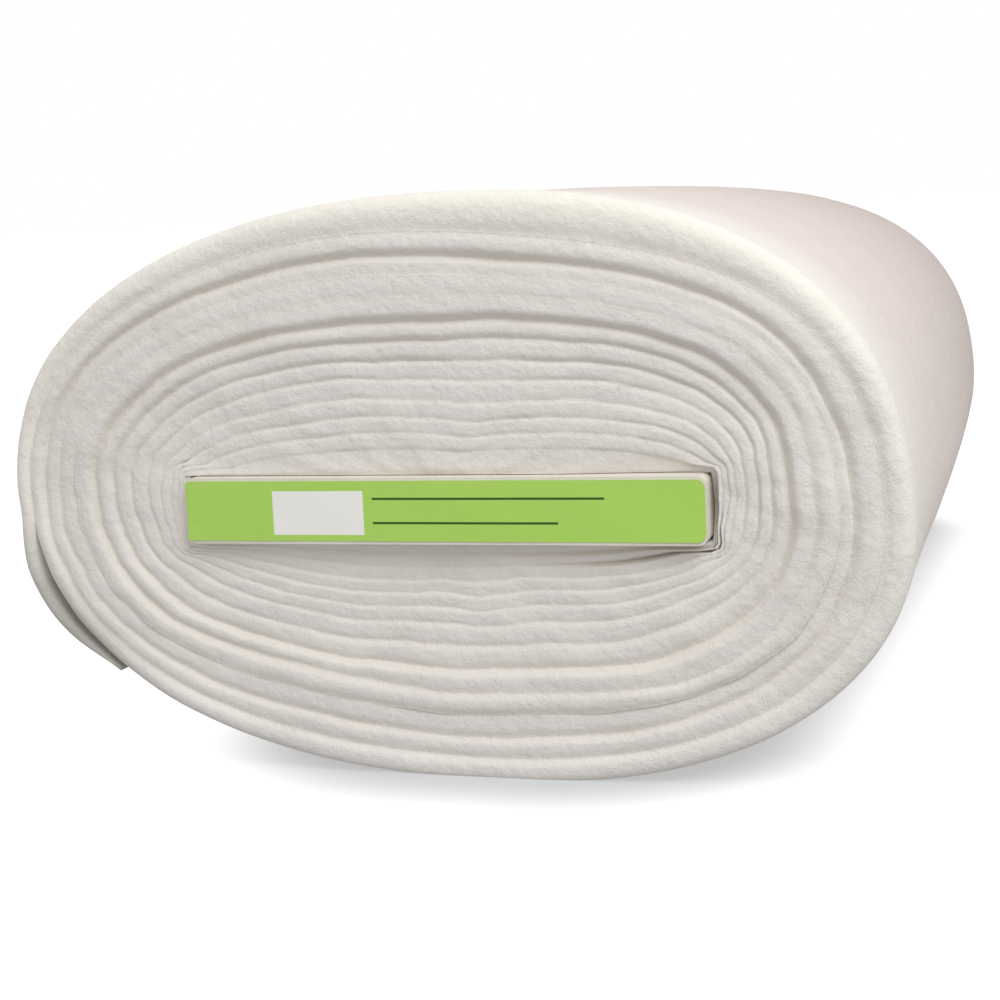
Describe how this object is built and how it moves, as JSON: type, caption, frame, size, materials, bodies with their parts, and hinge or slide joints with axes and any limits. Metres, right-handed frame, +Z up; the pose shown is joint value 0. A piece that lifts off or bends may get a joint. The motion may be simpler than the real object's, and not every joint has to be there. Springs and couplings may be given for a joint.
{
  "type": "roll of quilt batting",
  "caption": "Oval roll of folded off-white cotton quilt batting wound round a flat cardboard board with a green paper label on its end.",
  "frame": {"origin": "middle of the bottom of the bounding box, on the surface that the roll lies on", "axes": "+Y runs along the roll away from its labelled end, +X along the long side of the board as seen from the label, +Z up"},
  "size_m": [0.3518, 0.6148, 0.2208],
  "materials": {
    "batting": "soft needle-punched cotton, matt, off-white",
    "board": "matt white-lined cardboard",
    "label_paper": "semi-matt printed paper, green, with no lettering"
  },
  "bodies": {
    "root": {"batting_roll": "batting", "core_board": "board", "end_label": "label_paper"}
  },
  "joints": []
}
